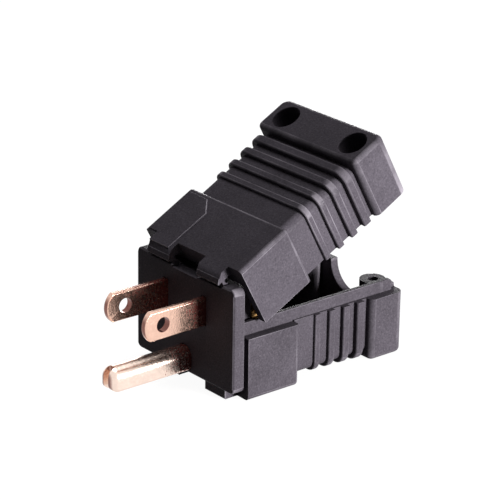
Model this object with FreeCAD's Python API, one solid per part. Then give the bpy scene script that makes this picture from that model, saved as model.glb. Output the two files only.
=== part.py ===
"""Rewireable three-pin plug: lower housing, hinged upper housing, pin carrier, pins and terminals.

Frame: the origin is on the mating face, midway between the two flat blades.
+X is to the right seen from the pins, +Y points back to the cord end, +Z is up. Sizes are in mm.
"""
import FreeCAD, Part
import math
import os

from FreeCAD import Vector

# Flat blades
blade_width = 6.35
blade_thickness = 1.5
blade_spacing = 12.7
blade_reach = 15.4
blade_tip_rise = 1.6
blade_tip_corner = 0.6
blade_edge_bevel = 0.3
blade_hole_diameter = 3.2
blade_hole_from_face = 10.85

# Earth pin, folded from sheet to a U that is open below
earth_drop = 12.1
earth_width = 4.8
earth_height = 5.1
earth_sheet = 1.6
earth_reach = 20.0
earth_nose_round = 1.8
earth_nose_slit = 1.7
earth_foot_round = 0.7

# Pin carrier with its face plate
plate_overhang = 0.45
plate_thickness = 2.75
plate_above = 7.3
plate_foot_margin = 0.85
plate_corner = 1.3
plate_edge_bevel = 0.35
neck_step = 1.0
neck_above = 5.0
flange_side_clear = 0.75
flange_thickness = 2.0
slot_clear = 0.05

# Housing envelope
body_width = 31.4
body_length = 47.0
body_slit = 1.6
base_foot = 2.5
cover_above = 10.2
cover_lead = 0.5
front_block_length = 13.5
handle_side_inset = 1.7
handle_base_rise = 1.45
handle_cover_drop = 1.0
end_block_length = 9.3
end_block_cover_rise = 0.95
block_corner = 0.85
grip_corner = 1.8
block_rear_round = 0.8
end_front_corner = 1.3
end_rear_corner = 2.0
end_edge_round = 1.0

# Parting line with its tongue
part_line = -4.1
front_part_drop = 0.25
part_gap = 0.12
step_gap = 0.35
ledge_width = 2.25
tongue_clear = 0.1
tongue_wall = 1.1
tongue_height = 2.5
tongue_end_inset = 1.5
tongue_end_chamfer = 0.8
tongue_end_corner = 0.6
rear_lip_height = 0.9

# Walls
front_wall = 1.7
rear_wall = 1.95
cover_wall = 1.2
handle_floor_wall = 2.0
roof_wall = 1.75
cavity_corner = 0.8
seat_clear = 0.1

# Grip ribs, which grow towards the cord end
rib_count = 4
rib_first_from_block = 5.95
rib_pitch = 3.85
rib_first_width = 1.45
rib_width_growth = 0.2
base_rib_first_height = 0.65
base_rib_height_growth = 0.15
cover_rib_first_height = 0.75
cover_rib_height_growth = 0.17
rib_round_share = 0.22

# Cord entry
cord_entry_diameter = 11.8
cord_entry_rise = 0.6

# Closing screws: bosses in the base, counterbored tubes in the cover
screw_side_inset = 5.05
screw_from_rear = 4.7
boss_diameter = 5.7
boss_drop = 0.2
boss_hole_diameter = 2.3
boss_hole_depth = 9.0
head_bore_diameter = 6.3
screw_hole_diameter = 3.2
tube_wall = 1.0
tube_shoulder = 2.2

# Cover hinge: beads under the tabs, seated in a round groove in the face plate
open_angle = 28.2
tab_inner = 4.6
tab_side_inset = 4.35
tab_side_clear = 0.4
notch_depth = 0.6
middle_notch_depth = 0.4
bead_radius = 0.8
bead_clear = 0.05
bead_neck = 0.7
tab_lift = 1.5
tab_front_lip = 0.3
tab_front_slope = 1.7
tab_ledge = 0.15
left_foot_inner = 3.2
right_foot_inner = 5.5
foot_tab_side_inset = 3.95
foot_tab_front = 1.05
foot_tab_round = 0.4

# Raised pad on the cover's front block
pad_height = 0.35
pad_edge = 5.4
pad_side_inset = 0.9
pad_front_inset = 0.3
pad_rear_inset = 1.3
pad_corner_cut = 3.3

# Terminals behind the carrier
flag_sheet = 1.2
flag_side_clear = 0.35
flag_end_margin = 0.8
flag_upstand = 4.0
earth_flag_length = 11.0
shank_share = 0.625
shank_clear = 0.1
screw_head_height = 1.7
screw_slot_width = 0.8
screw_slot_depth = 0.8
screw_shank_below = 3.0
clamp_edge_inset = 0.2
clamp_end_margin = 0.5
clamp_sheet = 0.9
clamp_lip = 0.7
post_hole_clear = 0.3
post_hole_depth = 4.0
post_inset = 0.4
flag_seat_clear = 0.05

# Places that follow from the sizes above
housing_front = plate_thickness + body_slit
block_rear = housing_front + front_block_length
cover_front = housing_front - cover_lead
end_front = body_length - end_block_length
half_body = body_width / 2
half_handle = half_body - handle_side_inset
plate_width = body_width + 2 * plate_overhang
tab_outer = plate_width / 2 - tab_side_inset
foot_tab_outer = plate_width / 2 - foot_tab_side_inset
front_part = part_line - front_part_drop
tongue_outer = half_body - ledge_width
tongue_inner = tongue_outer - tongue_wall
flange_width = 2 * (tongue_inner - flange_side_clear)
neck_width = flange_width - 2 * neck_step
tongue_top = part_line + tongue_height
tongue_end = body_length - tongue_end_inset
boss_top = tongue_top - boss_drop
rear_inner = body_length - rear_wall
lip_top = part_line + rear_lip_height
entry_z = part_line + cord_entry_rise
plate_below = earth_drop + earth_height / 2 + plate_foot_margin
base_below = plate_below + base_foot
floor_top = -plate_below - seat_clear
handle_bottom = -base_below + handle_base_rise
handle_floor = handle_bottom + handle_floor_wall
handle_top = cover_above - handle_cover_drop
roof = handle_top - roof_wall
neck_rear = housing_front + front_wall + seat_clear
carrier_rear = neck_rear + flange_thickness
screw_y = body_length - screw_from_rear
screw_x = half_body - screw_side_inset
hinge_y = plate_thickness / 2
hinge_z = plate_above - notch_depth
tab_bottom = hinge_z + tab_lift
blade_x = blade_spacing / 2
flag_bottom = -blade_width / 2
flag_top = flag_bottom + flag_sheet
flag_inner = blade_x + blade_thickness / 2
flag_reach = tongue_inner - flag_side_clear - flag_inner
flag_screw_x = flag_inner + flag_reach / 2
screw_shank_diameter = flag_reach * shank_share
screw_way_diameter = screw_shank_diameter + 2 * shank_clear
clamp_width = flag_reach - 2 * clamp_edge_inset
clamp_length = clamp_width + 2 * clamp_end_margin
screw_head_diameter = clamp_width
flag_length = clamp_length + 2 * flag_end_margin
flag_rear = carrier_rear + flag_length
flag_screw_y = carrier_rear + flag_length / 2
earth_top = -earth_drop + earth_height / 2
earth_bottom = -earth_drop - earth_height / 2
earth_gap_top = earth_top - earth_sheet
earth_seat = earth_gap_top + earth_sheet / 2
earth_flag_rear = carrier_rear + earth_flag_length
earth_screw_y = earth_flag_rear - clamp_length / 2 - clamp_lip
past = 1.0
tiny = 1e-6


def box(x_span, y_span, z_span):
    """Rectangular block between the given low and high values."""
    size = [high - low for low, high in (x_span, y_span, z_span)]
    corner = Vector(x_span[0], y_span[0], z_span[0])
    return Part.makeBox(size[0], size[1], size[2], corner)


def span(middle, width):
    """Low and high end of a width about its middle."""
    return (middle - width / 2, middle + width / 2)


def upright(x, y, z_span, diameter):
    """Round rod along Z."""
    return Part.makeCylinder(diameter / 2, z_span[1] - z_span[0], Vector(x, y, z_span[0]))


def along_x(x_span, y, z, diameter):
    """Round rod along X."""
    return Part.makeCylinder(diameter / 2, x_span[1] - x_span[0], Vector(x_span[0], y, z), Vector(1, 0, 0))


def along_y(x, y_span, z, diameter):
    """Round rod along Y."""
    return Part.makeCylinder(diameter / 2, y_span[1] - y_span[0], Vector(x, y_span[0], z), Vector(0, 1, 0))


def prism(points, reach):
    """Closed outline of straight runs, pushed out along a vector."""
    return Part.Face(Part.makePolygon(points + points[:1])).extrude(reach)


def drawn_out(outline, direction):
    """Solid drawn out from a closed outline of lines and arcs."""
    face = Part.Face(Part.Wire([piece.toShape() for piece in outline]))
    return face.extrude(direction)


def mirrored(shape):
    """The same shape on the other side of the middle plane."""
    return shape.mirror(Vector(0, 0, 0), Vector(1, 0, 0))


def both_sides(shape):
    """A shape and its mirror image."""
    return [shape, mirrored(shape)]


def joined(shapes):
    """One solid from touching or overlapping shapes."""
    return shapes[0].multiFuse(shapes[1:]).removeSplitter()


def lies_at(edge, axis, value):
    """True where an edge lies wholly in the plane axis = value."""
    low = getattr(edge.BoundBox, axis + "Min")
    high = getattr(edge.BoundBox, axis + "Max")
    return abs(low - value) < tiny and abs(high - value) < tiny


def edges_at(shape, **planes):
    """Edges that lie wholly in every plane given, such as Y=0."""
    return [edge for edge in shape.Edges
            if all(lies_at(edge, axis, value) for axis, value in planes.items())]


def trough(half_width, open_z, closed_z, corner, y_span):
    """Housing section, square at the parting line and rounded at its closed side, drawn out along Y."""
    toward = math.copysign(1.0, closed_z - open_z)
    start = y_span[0]
    shoulder_z = closed_z - toward * corner
    bulge = corner * (1 - math.sqrt(0.5))
    flat_x = half_width - corner
    bulge_x = half_width - bulge
    bulge_z = closed_z - toward * bulge
    outline = [
        Part.LineSegment(Vector(-half_width, start, open_z), Vector(-half_width, start, shoulder_z)),
        Part.Arc(Vector(-half_width, start, shoulder_z), Vector(-bulge_x, start, bulge_z),
                 Vector(-flat_x, start, closed_z)),
        Part.LineSegment(Vector(-flat_x, start, closed_z), Vector(flat_x, start, closed_z)),
        Part.Arc(Vector(flat_x, start, closed_z), Vector(bulge_x, start, bulge_z),
                 Vector(half_width, start, shoulder_z)),
        Part.LineSegment(Vector(half_width, start, shoulder_z), Vector(half_width, start, open_z)),
        Part.LineSegment(Vector(half_width, start, open_z), Vector(-half_width, start, open_z)),
    ]
    return drawn_out(outline, Vector(0, y_span[1] - start, 0))


def rounded_ends(shape, ends, open_z, radius):
    """Round the end outlines of a trough, but not along the parting line."""
    edges = [edge for edge in shape.Edges
             if any(lies_at(edge, "Y", y) for y in ends) and not lies_at(edge, "Z", open_z)]
    return shape.makeFillet(radius, edges)


def grip_ribs(open_z, handle_z, first_height, height_growth):
    """Raised bands round the handle, each wider and higher than the one before."""
    toward = math.copysign(1.0, handle_z - open_z)
    ribs = []
    for index in range(rib_count):
        width = rib_first_width + index * rib_width_growth
        height = first_height + index * height_growth
        middle = block_rear + rib_first_from_block + index * rib_pitch
        ends = span(middle, width)
        band = trough(half_handle + height, open_z, handle_z + toward * height, grip_corner + height, ends)
        ribs.append(rounded_ends(band, ends, open_z, rib_round_share * width))
    return ribs


def housing_blocks(open_front, open_rear, front_z, handle_z, end_z, front_ends):
    """Front block, handle and end block of one housing half."""
    front = trough(half_body, open_front, front_z, block_corner, front_ends)
    front = rounded_ends(front, front_ends[1:], open_front, block_rear_round)
    handle = trough(half_handle, open_rear, handle_z, grip_corner, (front_ends[1], end_front + past))
    return [front, handle, end_block(open_rear, end_z)]


def end_block(open_z, closed_z):
    """Block at the cord end with rounded upright corners and a rounded outline on its closed side."""
    low, high = sorted((open_z, closed_z))
    shape = box((-half_body, half_body), (end_front, body_length), (low, high))
    for y, radius in ((end_front, end_front_corner), (body_length, end_rear_corner)):
        uprights = edges_at(shape, X=-half_body, Y=y) + edges_at(shape, X=half_body, Y=y)
        shape = shape.makeFillet(radius, uprights)
    return shape.makeFillet(end_edge_round, edges_at(shape, Z=closed_z))


def rounded_cavity(x_half, y_span, z_span):
    """Hollow with rounded upright corners."""
    shape = box((-x_half, x_half), y_span, z_span)
    uprights = [edge for edge in shape.Edges if edge.BoundBox.ZLength > z_span[1] - z_span[0] - tiny]
    return shape.makeFillet(cavity_corner, uprights)


def make_lower_housing():
    """Lower half with its tongue, screw bosses, cord slot, terminal posts and foot tabs."""
    blocks = housing_blocks(front_part, part_line, -base_below, handle_bottom, -base_below,
                            (housing_front, block_rear))
    ribs = grip_ribs(part_line, handle_bottom, base_rib_first_height, base_rib_height_growth)
    tongue = box((tongue_inner, tongue_outer), (housing_front, tongue_end), (front_part - past, tongue_top))
    tongue = tongue.makeChamfer(tongue_end_chamfer, edges_at(tongue, Y=tongue_end, Z=tongue_top))
    tongue = tongue.makeFillet(tongue_end_corner, edges_at(tongue, X=tongue_outer, Y=tongue_end))
    lip = box((-tongue_inner, tongue_inner), (rear_inner, body_length), (part_line - past, lip_top))
    shell = joined(blocks + ribs + both_sides(tongue) + [lip])

    top = tongue_top + past
    inner_front = housing_front + front_wall
    deep = (floor_top, top)
    room_x = (-tongue_inner, tongue_inner)
    front_room = box(room_x, (inner_front, block_rear - handle_floor_wall), deep)
    handle_room = rounded_cavity(tongue_inner, (inner_front, rear_inner), (handle_floor, top))
    end_room = box(room_x, (end_front + handle_floor_wall, rear_inner), deep)
    neck_way = box(span(0, neck_width + 2 * seat_clear), (housing_front - past, inner_front + past), deep)
    shell = shell.cut(joined([front_room, handle_room, end_room, neck_way]))

    boss = upright(screw_x, screw_y, (floor_top - tiny, boss_top), boss_diameter)
    post = box((flag_inner + post_inset, tongue_inner + tiny),
               span(flag_screw_y, flag_length - 2 * post_inset),
               (floor_top - tiny, flag_bottom - flag_seat_clear))
    earth_post = box(span(0, earth_width + 2 * post_inset), span(earth_screw_y, clamp_length),
                     (floor_top - tiny, earth_gap_top - flag_seat_clear))
    feet = [foot_tab((-foot_tab_outer, -left_foot_inner)), foot_tab((right_foot_inner, foot_tab_outer))]
    shell = joined([shell] + both_sides(boss) + both_sides(post) + [earth_post] + feet)

    boss_hole = upright(screw_x, screw_y, (boss_top - boss_hole_depth, top), boss_hole_diameter)
    post_hole_diameter = screw_shank_diameter + 2 * post_hole_clear
    post_hole = upright(flag_screw_x, flag_screw_y, (flag_bottom - post_hole_depth, top), post_hole_diameter)
    earth_hole = upright(0, earth_screw_y, (earth_gap_top - post_hole_depth, top), post_hole_diameter)
    through_rear = (rear_inner - past, body_length + past)
    entry = along_y(0, through_rear, entry_z, cord_entry_diameter)
    entry_top = box(span(0, cord_entry_diameter), through_rear, (entry_z, top))
    holes = both_sides(boss_hole) + both_sides(post_hole) + [earth_hole, entry, entry_top]
    return shell.cut(joined(holes))


def foot_tab(x_span):
    """Low tab in front of the lower housing, under the face plate."""
    foot = box(x_span, (foot_tab_front, housing_front + past), (-base_below, floor_top))
    return foot.makeFillet(foot_tab_round, edges_at(foot, Y=foot_tab_front))


def hinge_tab():
    """One front tab of the cover, with the bead that it turns on."""
    slope_middle = (tab_bottom + tab_front_lip + cover_above) / 2
    outline = [
        (housing_front + front_wall, tab_bottom),
        (0, tab_bottom),
        (0, tab_bottom + tab_front_lip),
        (tab_front_slope / 2 - tab_ledge, slope_middle),
        (tab_front_slope / 2, slope_middle),
        (tab_front_slope, cover_above),
        (housing_front + front_wall, cover_above),
    ]
    width = Vector(tab_outer - tab_inner, 0, 0)
    tab = prism([Vector(tab_inner, y, z) for y, z in outline], width)
    tab_x = (tab_inner, tab_outer)
    bead = along_x(tab_x, hinge_y, hinge_z, 2 * bead_radius)
    neck = box(tab_x, span(hinge_y, bead_neck), (hinge_z, tab_bottom + tiny))
    return joined([tab, neck, bead])


def raised_pad():
    """Low pad on the left of the cover's front block, with one cut corner."""
    rear = block_rear - step_gap - pad_rear_inset
    left = -half_body + pad_side_inset
    outline = [
        (left, cover_front + pad_front_inset),
        (-tab_outer, cover_front + pad_front_inset),
        (-tab_outer, tab_front_slope),
        (-pad_edge, tab_front_slope),
        (-pad_edge, rear - pad_corner_cut),
        (-pad_edge - pad_corner_cut, rear),
        (left, rear),
    ]
    foot = cover_above - past
    return prism([Vector(x, y, foot) for x, y in outline], Vector(0, 0, past + pad_height))


def make_upper_housing():
    """Upper half: modelled closed, then swung open about its hinge beads."""
    open_front = front_part + part_gap
    open_rear = part_line + part_gap
    blocks = housing_blocks(open_front, open_rear, cover_above, handle_top,
                            cover_above + end_block_cover_rise, (cover_front, block_rear - step_gap))
    ribs = grip_ribs(open_rear, handle_top, cover_rib_first_height, cover_rib_height_growth)
    shell = joined(blocks + ribs)

    rest_z = tongue_top + part_gap
    rebate_half = tongue_outer + tongue_clear
    room_half = half_handle - cover_wall
    inner_front = housing_front + front_wall
    inner_rear = body_length - cover_wall
    below = open_front - past
    rebate = rounded_cavity(rebate_half, (inner_front, inner_rear), (below, rest_z))
    room = rounded_cavity(room_half, (inner_front, inner_rear), (below, roof))
    front_way = box((-rebate_half, rebate_half), (cover_front - past, inner_front + past),
                    (below, neck_above + notch_depth))
    shell = shell.cut(joined([rebate, room, front_way]))

    tube_diameter = head_bore_diameter + 2 * tube_wall
    tube = upright(screw_x, screw_y, (rest_z, roof + past), tube_diameter)
    tube = tube.common(box((0, rebate_half), (0, inner_rear + cover_wall / 2), (rest_z, roof + past)))
    tabs = both_sides(hinge_tab())
    shell = joined([shell] + both_sides(tube) + tabs + [raised_pad()])

    top = cover_above + end_block_cover_rise + past
    head_bore = upright(screw_x, screw_y, (rest_z + tube_shoulder, top), head_bore_diameter)
    screw_hole = upright(screw_x, screw_y, (rest_z - past, top), screw_hole_diameter)
    through_rear = (inner_rear - past, body_length + past)
    entry = along_y(0, through_rear, entry_z, cord_entry_diameter)
    lip_way = box(span(0, 2 * (tongue_inner + tongue_clear)), through_rear, (below, lip_top + part_gap))
    shell = shell.cut(joined(both_sides(head_bore) + both_sides(screw_hole) + [entry, lip_way]))
    shell.rotate(Vector(0, hinge_y, hinge_z), Vector(1, 0, 0), open_angle)
    return shell


def earth_section(growth, y_span):
    """Outer form of the earth pin: round top, small corners below, drawn out along Y."""
    half = earth_width / 2 + growth
    top = earth_top + growth
    bottom = earth_bottom - growth
    foot = earth_foot_round
    start = y_span[0]
    spring = top - half
    bulge = foot * (1 - math.sqrt(0.5))
    outline = [
        Part.Arc(Vector(-half, start, spring), Vector(0, start, top), Vector(half, start, spring)),
        Part.LineSegment(Vector(half, start, spring), Vector(half, start, bottom + foot)),
        Part.Arc(Vector(half, start, bottom + foot), Vector(half - bulge, start, bottom + bulge),
                 Vector(half - foot, start, bottom)),
        Part.LineSegment(Vector(half - foot, start, bottom), Vector(-half + foot, start, bottom)),
        Part.Arc(Vector(-half + foot, start, bottom), Vector(-half + bulge, start, bottom + bulge),
                 Vector(-half, start, bottom + foot)),
        Part.LineSegment(Vector(-half, start, bottom + foot), Vector(-half, start, spring)),
    ]
    return drawn_out(outline, Vector(0, y_span[1] - start, 0))


def make_pin_carrier():
    """Face plate, neck and rear flange in one moulding, slotted for the three pins."""
    plate = box(span(0, plate_width), (0, plate_thickness), (-plate_below, plate_above))
    corners = [edge for edge in plate.Edges if edge.BoundBox.YLength > plate_thickness - tiny]
    plate = plate.makeFillet(plate_corner, corners)
    plate = plate.makeChamfer(plate_edge_bevel, edges_at(plate, Y=0))
    notch_half = tab_outer + tab_side_clear
    notch = box((-notch_half, notch_half), (-past, plate_thickness + past), (hinge_z, plate_above + past))
    middle_half = tab_inner - tab_side_clear
    middle = box((-middle_half, middle_half), (-past, plate_thickness + past),
                 (hinge_z - middle_notch_depth, plate_above + past))
    groove = along_x((-notch_half, notch_half), hinge_y, hinge_z, 2 * (bead_radius + bead_clear))
    plate = plate.cut(joined([notch, middle, groove]))

    neck = box(span(0, neck_width), (plate_thickness, neck_rear), (-plate_below, neck_above))
    flange = box(span(0, flange_width), (neck_rear, carrier_rear), (-plate_below, neck_above))
    body = joined([plate, neck, flange])

    slot_y = (-past, carrier_rear + past)
    slot_x = span(blade_x, blade_thickness + 2 * slot_clear)
    slot = box(slot_x, slot_y, span(0, blade_width + 2 * slot_clear))
    slots = both_sides(slot) + [earth_section(slot_clear, slot_y)]
    return body.cut(joined(slots))


def make_blade():
    """Right-hand blade: round-nosed strip with a hole, turned out behind the carrier for its screw."""
    half = blade_width / 2
    inner, outer = span(blade_x, blade_thickness)
    shoulder = -blade_reach + blade_tip_rise
    corners = [Vector(inner, y, z) for y in (carrier_rear, shoulder) for z in (-half, half)]
    rear_low, rear_high, tip_low, tip_high = corners
    outline = [
        Part.LineSegment(rear_low, tip_low),
        Part.Arc(tip_low, Vector(inner, -blade_reach, 0), tip_high),
        Part.LineSegment(tip_high, rear_high),
        Part.LineSegment(rear_high, rear_low),
    ]
    strip = drawn_out(outline, Vector(blade_thickness, 0, 0))
    strip = strip.makeFillet(blade_tip_corner, edges_at(strip, Y=shoulder))
    rims = [edge for edge in edges_at(strip, X=inner) + edges_at(strip, X=outer)
            if not lies_at(edge, "Y", carrier_rear)]
    strip = strip.makeChamfer(blade_edge_bevel, rims)
    hole = along_x((inner - past, outer + past), -blade_hole_from_face, 0, blade_hole_diameter)
    rear_span = (carrier_rear, flag_rear)
    upstand = box((inner, outer), rear_span, (flag_bottom, flag_bottom + flag_upstand))
    flag = box((inner, outer + flag_reach), rear_span, (flag_bottom, flag_top))
    way_z = (flag_bottom - past, flag_top + past)
    screw_way = upright(flag_screw_x, flag_screw_y, way_z, screw_way_diameter)
    return joined([strip.cut(hole), upstand, flag]).cut(screw_way)


def make_earth_pin():
    """Earth pin: U-folded sheet with a rounded, slit nose, its top sheet running on as the terminal."""
    pin = earth_section(0, (-earth_reach, carrier_rear))
    pin = pin.makeFillet(earth_nose_round, edges_at(pin, Y=-earth_reach))
    gap_x = span(0, earth_width - 2 * earth_sheet)
    gap = box(gap_x, (-earth_reach - past, carrier_rear + past), (earth_bottom - past, earth_gap_top))
    slit_y = (-earth_reach - past, -earth_reach + earth_nose_slit)
    slit = box(gap_x, slit_y, (earth_bottom - past, earth_top + past))
    flag = box(span(0, earth_width), (carrier_rear, earth_flag_rear), (earth_gap_top, earth_seat))
    screw_way = upright(0, earth_screw_y, (earth_gap_top - past, earth_top + past), screw_way_diameter)
    return joined([pin.cut(joined([gap, slit])), flag]).cut(screw_way)


def make_wire_clamp(x, y, seat_z):
    """Saddle plate that presses the wire, with turned-up lips at its front and back."""
    x_span = span(x, clamp_width)
    y_span = span(y, clamp_length)
    plate = box(x_span, y_span, (seat_z, seat_z + clamp_sheet))
    lip_z = (seat_z, seat_z + clamp_sheet + clamp_lip)
    lips = [box(x_span, (y_span[0] - clamp_lip, y_span[0]), lip_z)]
    lips.append(box(x_span, (y_span[1], y_span[1] + clamp_lip), lip_z))
    hole = upright(x, y, (seat_z - past, seat_z + clamp_sheet + past), screw_way_diameter)
    return joined([plate] + lips).cut(hole)


def make_terminal_screw(x, y, seat_z, tip_z):
    """Slotted pan-head screw with its head on the clamp plate."""
    under_head = seat_z + clamp_sheet
    head_top = under_head + screw_head_height
    head = upright(x, y, (under_head, head_top), screw_head_diameter)
    head = head.makeChamfer(screw_slot_depth / 2, edges_at(head, Z=head_top))
    shank = upright(x, y, (tip_z, under_head), screw_shank_diameter)
    slot = box(span(x, 2 * screw_head_diameter), span(y, screw_slot_width),
               (head_top - screw_slot_depth, head_top + past))
    return joined([head, shank]).cut(slot)


def make_parts():
    """Every piece by its node name."""
    neutral_blade = make_blade()
    parts = {
        "lower_housing": make_lower_housing(),
        "upper_housing": make_upper_housing(),
        "pin_carrier": make_pin_carrier(),
        "neutral_blade": neutral_blade,
        "line_blade": mirrored(neutral_blade),
        "earth_pin": make_earth_pin(),
        "earth_wire_clamp": make_wire_clamp(0, earth_screw_y, earth_seat),
        "earth_terminal_screw": make_terminal_screw(0, earth_screw_y, earth_seat,
                                                    earth_gap_top - screw_shank_below),
    }
    for side, x in (("line", -flag_screw_x), ("neutral", flag_screw_x)):
        parts[side + "_wire_clamp"] = make_wire_clamp(x, flag_screw_y, flag_top)
        parts[side + "_terminal_screw"] = make_terminal_screw(x, flag_screw_y, flag_top,
                                                              flag_bottom - screw_shank_below)
    return parts


def main():
    os.makedirs("parts", exist_ok=True)
    for name, shape in make_parts().items():
        shape.exportStep("parts/" + name + ".step")
        print(name, "valid" if shape.isValid() else "INVALID", len(shape.Solids), round(shape.Volume, 1))


main()
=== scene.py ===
"""Looks of the rewireable three-pin plug: eased mouldings, copper pins, brass terminals, pale stage."""
import math

import bmesh
import bpy
from bpy.props import FloatProperty, FloatVectorProperty, IntProperty, PointerProperty
from mathutils import Matrix, Vector
from mathutils.bvhtree import BVHTree


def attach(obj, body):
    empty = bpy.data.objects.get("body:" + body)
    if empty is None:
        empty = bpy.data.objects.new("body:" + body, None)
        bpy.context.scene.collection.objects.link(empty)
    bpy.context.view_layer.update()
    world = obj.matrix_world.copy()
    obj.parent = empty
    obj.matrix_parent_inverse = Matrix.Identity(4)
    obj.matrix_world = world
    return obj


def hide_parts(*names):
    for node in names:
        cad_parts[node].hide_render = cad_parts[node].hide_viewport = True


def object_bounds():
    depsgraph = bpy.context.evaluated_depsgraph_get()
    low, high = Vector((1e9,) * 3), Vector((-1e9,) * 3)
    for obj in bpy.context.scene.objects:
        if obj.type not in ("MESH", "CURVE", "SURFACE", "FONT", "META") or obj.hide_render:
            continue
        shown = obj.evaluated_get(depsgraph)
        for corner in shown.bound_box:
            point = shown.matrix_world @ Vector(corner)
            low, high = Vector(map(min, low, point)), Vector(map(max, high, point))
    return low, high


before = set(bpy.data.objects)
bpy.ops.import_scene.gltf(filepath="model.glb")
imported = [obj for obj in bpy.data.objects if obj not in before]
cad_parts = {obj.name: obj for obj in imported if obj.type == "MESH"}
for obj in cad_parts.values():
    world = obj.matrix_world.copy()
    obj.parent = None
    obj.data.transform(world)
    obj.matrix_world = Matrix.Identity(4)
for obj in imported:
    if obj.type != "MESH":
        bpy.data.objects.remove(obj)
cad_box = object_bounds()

bl_info = {
    "name": "Three-pin plug looks",
    "version": (1, 0, 0),
    "blender": (4, 5, 0),
    "location": "View3D > Sidebar > Plug",
    "description": "Dresses the packed plug with eased mouldings, metal pins and a pale stage",
    "category": "Object",
}

# Eased meshes, in metres, radians and shares of the ease.
WELD = 2e-6
FLAT_ANGLE = math.radians(0.3)
SHARP_ANGLE = math.radians(30)
ROOM_NEEDED = 1.6
STRAY_SHARE = 0.5
EASE_TRIES = 6
SMOOTH_COSINE = math.cos(math.radians(50))

# Places of the face and of the gap in what a search for the nearest surface returns.
NEAREST_FACE = 2
NEAREST_GAP = 3

# Worn edges, partly real wear and partly painted highlight: widest face, radius that is marked fully,
# least share kept and hollow left out.
WORN_AND_HIGHLIGHT_ROOM = 0.0004
WORN_AND_HIGHLIGHT_RADIUS = 0.00014
WORN_AND_HIGHLIGHT_LEAST = 0.1
HOLLOW_TURN = math.radians(-4)

# Spans of noise that the finishes answer to.
WHOLE = (0.0, 1.0)
MIDDLE_SPAN = (0.3, 0.7)
WIDE_SPAN = (0.25, 0.75)
UPPER_SPAN = (0.35, 0.7)

# Moulded plastic.
MOTTLE_GRAINS = 24
MOTTLE_PALER = 1.12
MOTTLE_DARKER = 0.86
PIT_SPAN = (0.28, 0.50)
PIT_SHARES = (0.7, 0.0)
PIT_DARKER = 0.45
SPECK_SPAN = (0.55, 0.75)
SPECK_SHARES = (0.0, 0.12)
RUB_AND_HIGHLIGHT_SHARES = (0.15, 0.9)
RUB_POLISH = 0.12
PLASTIC_ROUGHNESS = (0.54, 0.38)
PLASTIC_SPECULAR = 0.02
PLASTIC_RELIEF = 0.6

# Plated copper and its dark film, partly tarnish and partly painted shade and painted dark reflection.
CLOUD_GRAINS = 14
FILM_AND_SHADE_ALONG = (-0.5, 1.0)
FILM_AND_SHADE_GRAIN_SPAN = (0.32, 0.68)
FILM_AND_SHADE_GRAIN = (-0.5, 0.5)
FILM_AND_SHADE_CLOUD = (-0.15, 0.15)
FILM_AND_SHADE_SPAN = (0.45, 0.75)
FILM_AND_SHADE_BEHIND_SPAN = (0.0, 0.002)
FILM_AND_SHADE_BEHIND = (1.0, 0.2)
# Painted shade on the wall of a blade's hole.
HOLE_RIM = (1.01, 1.05)
HOLE_SHADE = (0.85, 0.0)
# Painted shade on the end faces of the pins, which face away from the lamps.
END_SPAN = (-0.95, -0.75)
END_SHADE = (0.8, 0.0)
CLOUD_DARKER = 0.9
COPPER_METALLIC = (1.0, 0.6)
COPPER_SPECULAR = 0.1
COPPER_ROUGHNESS = (0.12, 0.28)
COPPER_RELIEF = 0.8

# Turned brass.
BRASS_FILM_SCALE = 700.0
BRASS_MARK_SCALE = 6000.0
BRASS_MARK_DEPTH = 0.00002
BRASS_RELIEF = 0.2
BRASS_DARKER = 0.6
BRASS_ROUGHNESS = (0.42, 0.58)

# Stage: lamps with their power setting, place and width, then floor and camera.
LAMP_AIM = (0.0, 0.02, 0.0)
LAMPS = {
    "key_lamp": ("key_power", (0.52, 0.18, 0.06), 0.13),
    "top_lamp": ("top_power", (0.0, 0.08, 0.6), 0.4),
    "back_lamp": ("back_power", (-0.45, 0.42, 0.05), 0.2),
}
FLOOR_SIZE = 1.5
FLOOR_SEGMENTS = 8
FLOOR_GAP = 0.0002
FLOOR_SCALE = 3.0
FLOOR_DARKER = 0.98
FLOOR_ROUGHNESS = 0.9
FLOOR_GLOW = 0.95
WHITE = (1.0, 1.0, 1.0, 1.0)
CLIP_START = 0.01
IMAGE_SIZE = 500
SENSOR = 36.0


class PlugMouldingSettings(bpy.types.PropertyGroup):
    """Sizes and colours of the three plastic mouldings."""

    edge_ease: FloatProperty(
        name="Edge ease", description="Width of the eased edges of the mouldings",
        default=0.00016, min=0.00001, unit="LENGTH", precision=5)
    ease_steps: IntProperty(
        name="Ease steps", description="Faces across an eased edge", default=2, min=2, max=6)
    plastic: FloatVectorProperty(
        name="Plastic", description="Charcoal of the handled cover", subtype="COLOR", size=3,
        default=(0.066, 0.058, 0.070), min=0.0, max=1.0)
    # Painted shade: a darker copy of the plastic for the base and face plate, which stand in more shade
    # than the cover.
    deep_plastic: FloatVectorProperty(
        name="Deep plastic", description="Charcoal of the base and face plate",
        subtype="COLOR", size=3, default=(0.057, 0.050, 0.060), min=0.0, max=1.0)
    # Share of the paler edges on the base and face plate, partly wear and partly painted highlight.
    base_wear_and_highlight: FloatProperty(
        name="Deep wear", description="Edge wear of the base and face plate",
        default=0.45, min=0.0, max=1.0, subtype="FACTOR")
    # Share of the paler edges on the cover, partly wear and partly painted highlight.
    wear: FloatProperty(
        name="Wear", description="Edge wear of the handled cover",
        default=1.0, min=0.0, max=1.0, subtype="FACTOR")
    # Paler tone of the specks and of the edges, which are partly worn and partly a painted highlight.
    worn_and_highlight: FloatVectorProperty(
        name="Worn edge", description="Paler tone along handled edges", subtype="COLOR", size=3,
        default=(0.36, 0.33, 0.37), min=0.0, max=1.0)
    grain: FloatProperty(
        name="Grain", description="Size of the eroded mould grain",
        default=0.00036, min=0.00002, unit="LENGTH", precision=5)
    grain_depth: FloatProperty(
        name="Grain depth", description="Depth of the eroded mould grain",
        default=0.00003, min=0.0, unit="LENGTH", precision=5)


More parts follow.
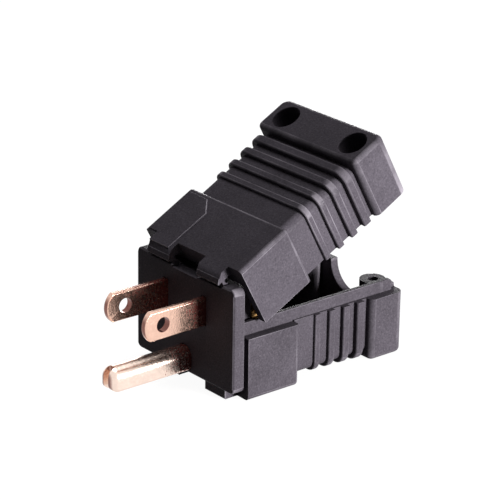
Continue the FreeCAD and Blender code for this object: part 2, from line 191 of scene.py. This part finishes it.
class PlugMetalSettings(bpy.types.PropertyGroup):
    """Sizes and colours of the pins and terminals."""

    edge_ease: FloatProperty(
        name="Edge ease", description="Width of the eased edges of the metal",
        default=0.00014, min=0.00001, unit="LENGTH", precision=5)
    ease_steps: IntProperty(
        name="Ease steps", description="Faces across an eased edge", default=2, min=2, max=6)
    copper: FloatVectorProperty(
        name="Copper", description="Bright plating of the blades", subtype="COLOR", size=3,
        default=(0.80, 0.52, 0.41), min=0.0, max=1.0)
    # Painted highlight: a paler copy of the copper plating that makes the earth pin look more brightly
    # lit.
    pale_copper: FloatVectorProperty(
        name="Pale copper", description="Paler plating of the earth pin", subtype="COLOR", size=3,
        default=(0.93, 0.74, 0.64), min=0.0, max=1.0)
    # Colour of the dark film, partly tarnish and partly painted shade and painted dark reflection.
    tarnish_and_shade: FloatVectorProperty(
        name="Tarnish", description="Dark film near the face plate", subtype="COLOR", size=3,
        default=(0.18, 0.046, 0.040), min=0.0, max=1.0)
    # Reach of the dark film, partly tarnish and partly painted shade, along the neutral blade.
    tarnish_and_shade_reach: FloatProperty(
        name="Tarnish reach",
        description="How far the dark film runs out along the neutral blade",
        default=0.0095, min=0.0, unit="LENGTH", precision=4)
    # Painted shade: the line blade lies in the shadow of the neutral blade, so its dark film runs out
    # much farther.
    line_tarnish_and_shade_reach: FloatProperty(
        name="Line tarnish reach",
        description="How far the dark film runs out along the line blade",
        default=0.025, min=0.0, unit="LENGTH", precision=4)
    # Reach of the dark film, partly tarnish and partly painted shade, along the earth pin.
    earth_tarnish_and_shade_reach: FloatProperty(
        name="Earth tarnish reach",
        description="How far the dark film runs out along the earth pin",
        default=0.012, min=0.0, unit="LENGTH", precision=4)
    hole_reach: FloatProperty(
        name="Hole reach", description="From the mating face to the middle of a blade's hole",
        default=0.01085, min=0.0, unit="LENGTH", precision=5)
    hole_radius: FloatProperty(
        name="Hole radius", description="Radius of the hole in a blade",
        default=0.0016, min=0.0001, unit="LENGTH", precision=4)
    grain: FloatProperty(
        name="Grain", description="Size of the plating's sparkling grain",
        default=0.00036, min=0.00002, unit="LENGTH", precision=5)
    grain_depth: FloatProperty(
        name="Grain depth", description="Depth of the plating's sparkling grain",
        default=0.00003, min=0.0, unit="LENGTH", precision=5)
    brass: FloatVectorProperty(
        name="Brass", description="Terminals and screws", subtype="COLOR", size=3,
        default=(0.24, 0.14, 0.055), min=0.0, max=1.0)


class PlugStageSettings(bpy.types.PropertyGroup):
    """Camera, lamps and floor."""

    azimuth: FloatProperty(
        name="Azimuth", description="Camera turn about the upright axis",
        default=math.radians(50.462), subtype="ANGLE")
    elevation: FloatProperty(
        name="Elevation", description="Camera height above the horizon",
        default=math.radians(21.285), subtype="ANGLE")
    roll: FloatProperty(
        name="Roll", description="Camera turn about its own line of sight",
        default=math.radians(0.885), subtype="ANGLE")
    distance: FloatProperty(
        name="Distance", description="From the camera to the plug",
        default=0.515826, min=0.05, unit="LENGTH")
    focal_pixels: FloatProperty(
        name="Focal length", description="Lens length in image pixels", default=2509.528, min=1.0)
    sideways: FloatProperty(
        name="Sideways", description="Camera slide to its right",
        default=0.013521, unit="LENGTH", precision=5)
    upward: FloatProperty(
        name="Upward", description="Camera slide to its top",
        default=0.014918, unit="LENGTH", precision=5)
    lowered: FloatProperty(
        name="Lowered", description="Drop of the camera's aim below the mating face's middle",
        default=0.00472, unit="LENGTH", precision=5)
    key_power: FloatProperty(
        name="Key lamp", description="Power of the lamp on the right",
        default=8.2, min=0.0, unit="POWER")
    top_power: FloatProperty(
        name="Top lamp", description="Power of the lamp overhead",
        default=2.1, min=0.0, unit="POWER")
    back_power: FloatProperty(
        name="Back lamp", description="Power of the lamp behind on the left",
        default=2.0, min=0.0, unit="POWER")
    fill: FloatProperty(
        name="Fill", description="Even light from all round", default=0.014, min=0.0, max=1.0)
    floor: FloatVectorProperty(
        name="Floor", description="Colour of the floor", subtype="COLOR", size=3,
        default=(0.12, 0.12, 0.12), min=0.0, max=1.0)


def add_node(tree, kind, sockets=None, **settings):
    """New shader node with its settings and unlinked sockets filled in."""
    node = tree.nodes.new(kind)
    for name, value in settings.items():
        setattr(node, name, value)
    for name, value in (sockets or {}).items():
        node.inputs[name].default_value = value
    return node


def noise(tree, where, scale, detail=3.0, roughness=0.6):
    """Noise over the given coordinates."""
    node = add_node(tree, "ShaderNodeTexNoise",
                    {"Scale": scale, "Detail": detail, "Roughness": roughness})
    tree.links.new(where, node.inputs["Vector"])
    return node.outputs["Fac"]


def ranged(tree, value, span, result=WHOLE):
    """Value carried from one span to another, held at the ends."""
    low, high = span
    to_low, to_high = result
    node = add_node(tree, "ShaderNodeMapRange",
                    {"From Min": low, "From Max": high, "To Min": to_low, "To Max": to_high})
    tree.links.new(value, node.inputs["Value"])
    return node.outputs["Result"]


def sums(tree, operation, first, second):
    """Result of one sum on two values, each a socket or a number."""
    node = add_node(tree, "ShaderNodeMath", operation=operation)
    for socket, value in zip(node.inputs, (first, second)):
        if isinstance(value, (int, float)):
            socket.default_value = value
        else:
            tree.links.new(value, socket)
    return node.outputs["Value"]


def mixed(tree, share, first, second):
    """Colour between two colours, each a socket or three numbers."""
    node = add_node(tree, "ShaderNodeMix", data_type="RGBA")
    sockets = {socket.identifier: socket for socket in node.inputs}
    tree.links.new(share, sockets["Factor_Float"])
    for name, value in (("A_Color", first), ("B_Color", second)):
        if isinstance(value, bpy.types.NodeSocket):
            tree.links.new(value, sockets[name])
        else:
            sockets[name].default_value = (*value, 1.0)
    return next(socket for socket in node.outputs if socket.identifier == "Result_Color")


def scaled(values, share):
    """Each value, such as a channel of a colour, times a share."""
    return [value * share for value in values]


def new_finish(name):
    """Empty material with its shader and object coordinates."""
    material = bpy.data.materials.new(name)
    material.use_nodes = True
    tree = material.node_tree
    where = add_node(tree, "ShaderNodeTexCoord").outputs["Object"]
    return material, tree, tree.nodes["Principled BSDF"], where


def add_relief(tree, shader, height, strength, depth):
    """Bump from a height value."""
    bump = add_node(tree, "ShaderNodeBump", {"Strength": strength, "Distance": depth})
    tree.links.new(height, bump.inputs["Height"])
    tree.links.new(bump.outputs["Normal"], shader.inputs["Normal"])


def moulded_plastic(settings, name, plastic, wear_and_highlight_share):
    """Charcoal plastic with the eroded grain of its mould, faint mottling and paler edges that are
    partly wear and partly painted highlight.
    """
    if name in bpy.data.materials:
        return bpy.data.materials[name]
    material, tree, shader, where = new_finish(name)
    grain = noise(tree, where, 1 / settings.grain, roughness=0.65)
    mottle = noise(tree, where, 1 / (MOTTLE_GRAINS * settings.grain), detail=4.0)
    shade = mixed(tree, ranged(tree, mottle, MIDDLE_SPAN),
                  scaled(plastic, MOTTLE_DARKER), scaled(plastic, MOTTLE_PALER))
    pits = mixed(tree, ranged(tree, grain, PIT_SPAN, PIT_SHARES), shade, scaled(plastic, PIT_DARKER))
    specks = mixed(tree, ranged(tree, grain, SPECK_SPAN, SPECK_SHARES), pits, settings.worn_and_highlight)
    # Paler edges in patches, partly wear and partly painted highlight.
    wear = add_node(tree, "ShaderNodeAttribute", attribute_name="wear").outputs["Fac"]
    wear_and_highlight_patches = ranged(tree, mottle, UPPER_SPAN, scaled(RUB_AND_HIGHLIGHT_SHARES, wear_and_highlight_share))
    rubbed_and_highlight = sums(tree, "MULTIPLY", wear, wear_and_highlight_patches)
    tree.links.new(mixed(tree, rubbed_and_highlight, specks, settings.worn_and_highlight), shader.inputs["Base Color"])
    rough = ranged(tree, grain, MIDDLE_SPAN, PLASTIC_ROUGHNESS)
    polish = sums(tree, "MULTIPLY", rubbed_and_highlight, RUB_POLISH)
    tree.links.new(sums(tree, "SUBTRACT", rough, polish), shader.inputs["Roughness"])
    shader.inputs["Specular IOR Level"].default_value = PLASTIC_SPECULAR
    add_relief(tree, shader, grain, PLASTIC_RELIEF, settings.grain_depth)
    return material


def hole_shade(tree, where, settings):
    """Painted shade on the wall of a blade's hole."""
    side_on = add_node(tree, "ShaderNodeVectorMath", operation="MULTIPLY")
    side_on.inputs[1].default_value = (0.0, 1.0, 1.0)
    tree.links.new(where, side_on.inputs[0])
    away = add_node(tree, "ShaderNodeVectorMath", operation="DISTANCE")
    away.inputs[1].default_value = (0.0, -settings.hole_reach, 0.0)
    tree.links.new(side_on.outputs["Vector"], away.inputs[0])
    return ranged(tree, away.outputs["Value"], scaled(HOLE_RIM, settings.hole_radius), HOLE_SHADE)


def end_shade(tree):
    """Painted shade on the end faces of a pin, which face away from the lamps."""
    facing = add_node(tree, "ShaderNodeSeparateXYZ")
    tree.links.new(add_node(tree, "ShaderNodeTexCoord").outputs["Normal"], facing.inputs["Vector"])
    return ranged(tree, facing.outputs["Y"], END_SPAN, END_SHADE)


def plated_copper(settings, name, colour, reach):
    """Bright copper plating with a sparkling grain and a speckled dark film towards the face plate,
    partly tarnish and partly painted shade and reflection.
    """
    material, tree, shader, where = new_finish(name)
    grain = noise(tree, where, 1 / settings.grain, detail=2.0)
    cloud = noise(tree, where, 1 / (CLOUD_GRAINS * settings.grain))
    parts = add_node(tree, "ShaderNodeSeparateXYZ")
    tree.links.new(where, parts.inputs["Vector"])
    along = parts.outputs["Y"]
    spread = ranged(tree, along, (-reach, 0.0), FILM_AND_SHADE_ALONG)
    spread = sums(tree, "ADD", spread, ranged(tree, grain, FILM_AND_SHADE_GRAIN_SPAN, FILM_AND_SHADE_GRAIN))
    spread = sums(tree, "ADD", spread, ranged(tree, cloud, MIDDLE_SPAN, FILM_AND_SHADE_CLOUD))
    behind = ranged(tree, along, FILM_AND_SHADE_BEHIND_SPAN, FILM_AND_SHADE_BEHIND)
    # Dark film, partly tarnish and partly painted shade, towards the face plate; painted shade in the
    # hole and on the end faces.
    darkening = sums(tree, "MINIMUM", ranged(tree, spread, FILM_AND_SHADE_SPAN), behind)
    darkening = sums(tree, "MAXIMUM", darkening, hole_shade(tree, where, settings))
    darkening = sums(tree, "MAXIMUM", darkening, end_shade(tree))
    bright = mixed(tree, ranged(tree, cloud, MIDDLE_SPAN), scaled(colour, CLOUD_DARKER), colour)
    tree.links.new(mixed(tree, darkening, bright, settings.tarnish_and_shade), shader.inputs["Base Color"])
    tree.links.new(ranged(tree, darkening, WHOLE, COPPER_METALLIC), shader.inputs["Metallic"])
    shader.inputs["Specular IOR Level"].default_value = COPPER_SPECULAR
    tree.links.new(ranged(tree, grain, WIDE_SPAN, COPPER_ROUGHNESS), shader.inputs["Roughness"])
    add_relief(tree, shader, grain, COPPER_RELIEF, settings.grain_depth)
    return material


def turned_brass(settings):
    """Warm brass with turning marks and a dull film in places."""
    material, tree, shader, where = new_finish("turned_brass")
    darkening = noise(tree, where, BRASS_FILM_SCALE, detail=4.0)
    marks = noise(tree, where, BRASS_MARK_SCALE, detail=2.0)
    dull = scaled(settings.brass, BRASS_DARKER)
    tree.links.new(mixed(tree, ranged(tree, darkening, UPPER_SPAN), settings.brass, dull),
                   shader.inputs["Base Color"])
    tree.links.new(ranged(tree, darkening, MIDDLE_SPAN, BRASS_ROUGHNESS), shader.inputs["Roughness"])
    shader.inputs["Metallic"].default_value = 1.0
    add_relief(tree, shader, marks, BRASS_RELIEF, BRASS_MARK_DEPTH)
    return material


def face_room(face):
    """About how wide a face is across its narrow way."""
    return 2 * face.calc_area() / face.calc_perimeter()


def joined_flats(node):
    """Copy of a node's mesh with its flats joined."""
    work = bmesh.new()
    work.from_mesh(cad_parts[node].data)
    bmesh.ops.remove_doubles(work, verts=work.verts, dist=WELD)
    bmesh.ops.dissolve_limit(work, angle_limit=FLAT_ANGLE, verts=work.verts, edges=work.edges)
    work.edges.layers.float.new("bevel_weight_edge")
    for face in work.faces:
        face.smooth = True
    mesh = bpy.data.meshes.new(node + "_flats")
    work.to_mesh(mesh)
    work.free()
    return mesh


def pick_edges(flats, ease, left_sharp):
    """Pick the sharp edges that have room to be eased, apart from those of faces left sharp."""
    work = bmesh.new()
    work.from_mesh(flats)
    weight = work.edges.layers.float["bevel_weight_edge"]
    for edge in work.edges:
        edge[weight] = 0.0
        if edge.is_manifold and edge.calc_face_angle() > SHARP_ANGLE:
            roomy = min(face_room(face) for face in edge.link_faces) > ROOM_NEEDED * ease
            held = left_sharp.intersection(face.index for face in edge.link_faces)
            edge[weight] = float(roomy and not held)
    work.to_mesh(flats)
    work.free()


def keep_to_surface(mesh, surface, ease, low, high):
    """Bring points that an eased corner threw off the model back to its surface and box."""
    for point in mesh.vertices:
        nearest, _, _, gap = surface.find_nearest(point.co)
        if gap > STRAY_SHARE * ease:
            point.co = nearest
        point.co = [min(max(value, least), most) for value, least, most in zip(point.co, low, high)]


def stray_faces(mesh, surface, ease):
    """Numbers of the model's faces that easing pulled out of shape."""
    found = set()
    mesh.calc_loop_triangles()
    for triangle in mesh.loop_triangles:
        corners = [mesh.vertices[index].co for index in triangle.vertices]
        tests = [sum(corners, Vector()) / len(corners)]
        tests += [(corner + corners[index - 1]) / 2 for index, corner in enumerate(corners)]
        if any(surface.find_nearest(test)[NEAREST_GAP] > ease for test in tests):
            points = mesh.polygons[triangle.polygon_index].vertices
            places = [mesh.vertices[index].co for index in points]
            found.update(surface.find_nearest(place)[NEAREST_FACE] for place in places)
    return found


def shade_evenly(mesh):
    """Shade each corner like the larger faces round it, so that flats look flat and rounds round."""
    work = bmesh.new()
    work.from_mesh(mesh)
    areas = [face.calc_area() for face in work.faces]
    normals = []
    for face in work.faces:
        for point in face.verts:
            total = Vector()
            for other in point.link_faces:
                if other.normal.dot(face.normal) > SMOOTH_COSINE:
                    total += areas[other.index] * other.normal
            normals.append(total.normalized())
    work.free()
    mesh.normals_split_custom_set(normals)


def mark_wear_and_highlight(mesh):
    """Give each point inside a rounded or eased outer edge its share of wear and painted highlight."""
    work = bmesh.new()
    work.from_mesh(mesh)
    rooms = [max(WELD, face_room(face)) for face in work.faces]
    shares = []
    for point in work.verts:
        bends = []
        for edge in point.link_edges:
            turn = edge.calc_face_angle_signed(0.0)
            bends.append((turn, turn / min(rooms[face.index] for face in edge.link_faces)))
        narrow = all(rooms[face.index] < WORN_AND_HIGHLIGHT_ROOM for face in point.link_faces)
        outer = min(turn for turn, _ in bends) > HOLLOW_TURN
        share = min(1.0, WORN_AND_HIGHLIGHT_RADIUS * max(bend for _, bend in bends))
        shares.append(share if narrow and outer and share > WORN_AND_HIGHLIGHT_LEAST else 0.0)
    work.free()
    wear = mesh.attributes.new("wear", "FLOAT", "POINT")
    wear.data.foreach_set("value", shares)


def eased_piece(node, name, settings, finish):
    """Piece with a node's shape whose sharp edges are eased in its mesh."""
    ease = settings.edge_ease
    flats = joined_flats(node)
    flats.materials.append(finish)
    points = [point.co.copy() for point in flats.vertices]
    low = [min(values) for values in zip(*points)]
    high = [max(values) for values in zip(*points)]
    surface = BVHTree.FromPolygons(points, [face.vertices for face in flats.polygons])
    piece = bpy.data.objects.new(name, flats)
    bpy.context.scene.collection.objects.link(piece)
    edges = piece.modifiers.new("Eased edges", "BEVEL")
    edges.limit_method = "WEIGHT"
    edges.width = ease
    edges.segments = settings.ease_steps
    edges.use_clamp_overlap = False
    edges.miter_outer = "MITER_ARC"
    left_sharp = set()
    for _ in range(EASE_TRIES):
        pick_edges(flats, ease, left_sharp)
        depsgraph = bpy.context.evaluated_depsgraph_get()
        shape = bpy.data.meshes.new_from_object(
            piece.evaluated_get(depsgraph), preserve_all_data_layers=True, depsgraph=depsgraph)
        keep_to_surface(shape, surface, ease, low, high)
        strays = stray_faces(shape, surface, ease)
        if not strays:
            break
        left_sharp |= strays
    piece.modifiers.clear()
    piece.data = shape
    bpy.data.meshes.remove(flats)
    shape.name = name
    shade_evenly(shape)
    mark_wear_and_highlight(shape)
    return piece


def set_in(piece, body, node):
    """Let a piece stand for its node and ride on its body."""
    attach(piece, body)
    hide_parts(node)


class PlugBaseMoulding(bpy.types.Operator):
    """Make the lower housing with eased edges."""

    bl_idname = "plug.base_moulding"
    bl_label = "Base moulding"

    def execute(self, context):
        settings = context.scene.plug_moulding
        # Painted shade: the base takes the darker copy of the plastic.
        finish = moulded_plastic(settings, "deep_plastic", settings.deep_plastic, settings.base_wear_and_highlight)
        piece = eased_piece("lower_housing", "base_moulding", settings, finish)
        set_in(piece, "base", "lower_housing")
        return {"FINISHED"}


class PlugCoverMoulding(bpy.types.Operator):
    """Make the hinged upper housing with eased edges."""

    bl_idname = "plug.cover_moulding"
    bl_label = "Cover moulding"

    def execute(self, context):
        settings = context.scene.plug_moulding
        finish = moulded_plastic(settings, "cover_plastic", settings.plastic, settings.wear)
        piece = eased_piece("upper_housing", "cover_moulding", settings, finish)
        set_in(piece, "cover", "upper_housing")
        return {"FINISHED"}


class PlugPinCarrier(bpy.types.Operator):
    """Make the face plate that carries the pins."""

    bl_idname = "plug.pin_carrier"
    bl_label = "Pin carrier"

    def execute(self, context):
        settings = context.scene.plug_moulding
        # Painted shade: the face plate takes the darker copy of the plastic.
        finish = moulded_plastic(settings, "deep_plastic", settings.deep_plastic, settings.base_wear_and_highlight)
        piece = eased_piece("pin_carrier", "carrier_moulding", settings, finish)
        set_in(piece, "base", "pin_carrier")
        return {"FINISHED"}


class PlugPins(bpy.types.Operator):
    """Make the two flat blades and the folded earth pin."""

    bl_idname = "plug.pins"
    bl_label = "Pins"

    def execute(self, context):
        settings = context.scene.plug_metal
        # Painted shade: the line blade takes the shaded copper. Painted highlight: the earth pin takes
        # the paler copper.
        kinds = {
            "line_blade": ("dark_copper", settings.copper, settings.line_tarnish_and_shade_reach),
            "neutral_blade": ("bright_copper", settings.copper, settings.tarnish_and_shade_reach),
            "earth_pin": ("pale_copper", settings.pale_copper, settings.earth_tarnish_and_shade_reach),
        }
        for node, kind in kinds.items():
            finish = plated_copper(settings, *kind)
            piece = eased_piece(node, "plated_" + node, settings, finish)
            set_in(piece, "base", node)
        return {"FINISHED"}


class PlugTerminals(bpy.types.Operator):
    """Make the wire clamps and their slotted screws."""

    bl_idname = "plug.terminals"
    bl_label = "Terminals"

    def execute(self, context):
        settings = context.scene.plug_metal
        finish = turned_brass(settings)
        for side in ("line", "neutral", "earth"):
            for kind, slot in (("wire_clamp", "terminals"), ("terminal_screw", "screws")):
                node = side + "_" + kind
                piece = eased_piece(node, "brass_" + node, settings, finish)
                set_in(piece, "base", node)
        return {"FINISHED"}


def studio_camera(settings):
    """Camera at the given angle, distance and slide."""
    turn, rise, roll = settings.azimuth, settings.elevation, settings.roll
    level = Vector((math.cos(turn), math.sin(turn), 0.0))
    ahead = Vector((-math.sin(turn), math.cos(turn), 0.0))
    back = Vector((0.0, 0.0, math.sin(rise))) - math.cos(rise) * ahead
    upright = back.cross(level)
    right = math.cos(roll) * level + math.sin(roll) * upright
    top = math.cos(roll) * upright - math.sin(roll) * level
    place = back * settings.distance + right * settings.sideways + top * settings.upward
    place.z -= settings.lowered
    data = bpy.data.cameras.new("studio_camera")
    data.sensor_width = SENSOR
    data.lens = settings.focal_pixels / IMAGE_SIZE * SENSOR
    data.clip_start = CLIP_START
    camera = bpy.data.objects.new("studio_camera", data)
    bpy.context.scene.collection.objects.link(camera)
    turned = Matrix((right, top, back)).transposed().to_4x4()
    camera.matrix_world = Matrix.Translation(place) @ turned
    bpy.context.scene.camera = camera


def soft_lamp(name, place, aim, power, width):
    """Square soft lamp that faces a point."""
    data = bpy.data.lights.new(name, "AREA")
    data.energy = power
    data.size = width
    lamp = bpy.data.objects.new(name, data)
    lamp.location = place
    lamp.rotation_euler = (Vector(aim) - Vector(place)).to_track_quat("-Z", "Y").to_euler()
    bpy.context.scene.collection.objects.link(lamp)


def seen_rays(tree):
    """One where the camera, a reflection or a clear piece looks, and zero for plain light."""
    path = add_node(tree, "ShaderNodeLightPath")
    seen = sums(tree, "MAXIMUM", path.outputs["Is Camera Ray"], path.outputs["Is Glossy Ray"])
    return sums(tree, "MAXIMUM", seen, path.outputs["Is Transmission Ray"])


def pale_floor(settings):
    """Floor under the plug that keeps its shadow."""
    material, tree, shader, where = new_finish("pale_floor")
    soft = noise(tree, where, FLOOR_SCALE, detail=2.0)
    darker = scaled(settings.floor, FLOOR_DARKER)
    tree.links.new(mixed(tree, ranged(tree, soft, MIDDLE_SPAN), darker, settings.floor),
                   shader.inputs["Base Color"])
    shader.inputs["Roughness"].default_value = FLOOR_ROUGHNESS
    shader.inputs["Specular IOR Level"].default_value = 0.0
    shader.inputs["Emission Color"].default_value = WHITE
    glow = sums(tree, "MULTIPLY", seen_rays(tree), FLOOR_GLOW)
    tree.links.new(glow, shader.inputs["Emission Strength"])
    mesh = bpy.data.meshes.new("pale_floor")
    work = bmesh.new()
    bmesh.ops.create_grid(
        work, x_segments=FLOOR_SEGMENTS, y_segments=FLOOR_SEGMENTS, size=FLOOR_SIZE)
    work.to_mesh(mesh)
    work.free()
    mesh.materials.append(material)
    floor = bpy.data.objects.new("pale_floor", mesh)
    floor.location.z = cad_box[0][2] - FLOOR_GAP
    bpy.context.scene.collection.objects.link(floor)


def pale_world(settings):
    """White surround that gives an even, weaker fill."""
    world = bpy.data.worlds.new("pale_world")
    world.use_nodes = True
    tree = world.node_tree
    surround = tree.nodes["Background"]
    surround.inputs["Color"].default_value = WHITE
    strength = ranged(tree, seen_rays(tree), WHOLE, (settings.fill, 1.0))
    tree.links.new(strength, surround.inputs["Strength"])
    bpy.context.scene.world = world


class PlugStage(bpy.types.Operator):
    """Set the camera, lamps, floor and surround."""

    bl_idname = "plug.stage"
    bl_label = "Stage"

    def execute(self, context):
        settings = context.scene.plug_stage
        studio_camera(settings)
        pale_floor(settings)
        pale_world(settings)
        for name, (power, place, width) in LAMPS.items():
            soft_lamp(name, place, LAMP_AIM, getattr(settings, power), width)
        context.scene.view_settings.view_transform = "Standard"
        return {"FINISHED"}


class PlugPanel(bpy.types.Panel):
    """Lists the plug's settings and its makers."""

    bl_idname = "VIEW3D_PT_plug"
    bl_label = "Plug"
    bl_space_type = "VIEW_3D"
    bl_region_type = "UI"
    bl_category = "Plug"

    def draw(self, context):
        for maker in MAKERS:
            self.layout.operator(maker.bl_idname)
        for name in SETTINGS:
            box = self.layout.box()
            settings = getattr(context.scene, name)
            for key in settings.bl_rna.properties.keys():
                if key not in ("rna_type", "name"):
                    box.prop(settings, key)


MAKERS = (PlugBaseMoulding, PlugCoverMoulding, PlugPinCarrier, PlugPins, PlugTerminals, PlugStage)
SETTINGS = {
    "plug_moulding": PlugMouldingSettings,
    "plug_metal": PlugMetalSettings,
    "plug_stage": PlugStageSettings,
}


def register():
    """Register the settings, makers and panel."""
    for name, group in SETTINGS.items():
        bpy.utils.register_class(group)
        setattr(bpy.types.Scene, name, PointerProperty(type=group))
    for maker in MAKERS:
        bpy.utils.register_class(maker)
    bpy.utils.register_class(PlugPanel)


def unregister():
    """Take the panel, makers and settings away."""
    bpy.utils.unregister_class(PlugPanel)
    for maker in reversed(MAKERS):
        bpy.utils.unregister_class(maker)
    for name, group in reversed(SETTINGS.items()):
        delattr(bpy.types.Scene, name)
        bpy.utils.unregister_class(group)


def main():
    """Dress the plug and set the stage."""
    register()
    bpy.ops.plug.base_moulding()
    bpy.ops.plug.cover_moulding()
    bpy.ops.plug.pin_carrier()
    bpy.ops.plug.pins()
    bpy.ops.plug.terminals()
    bpy.ops.plug.stage()


if __name__ == "__main__":
    main()
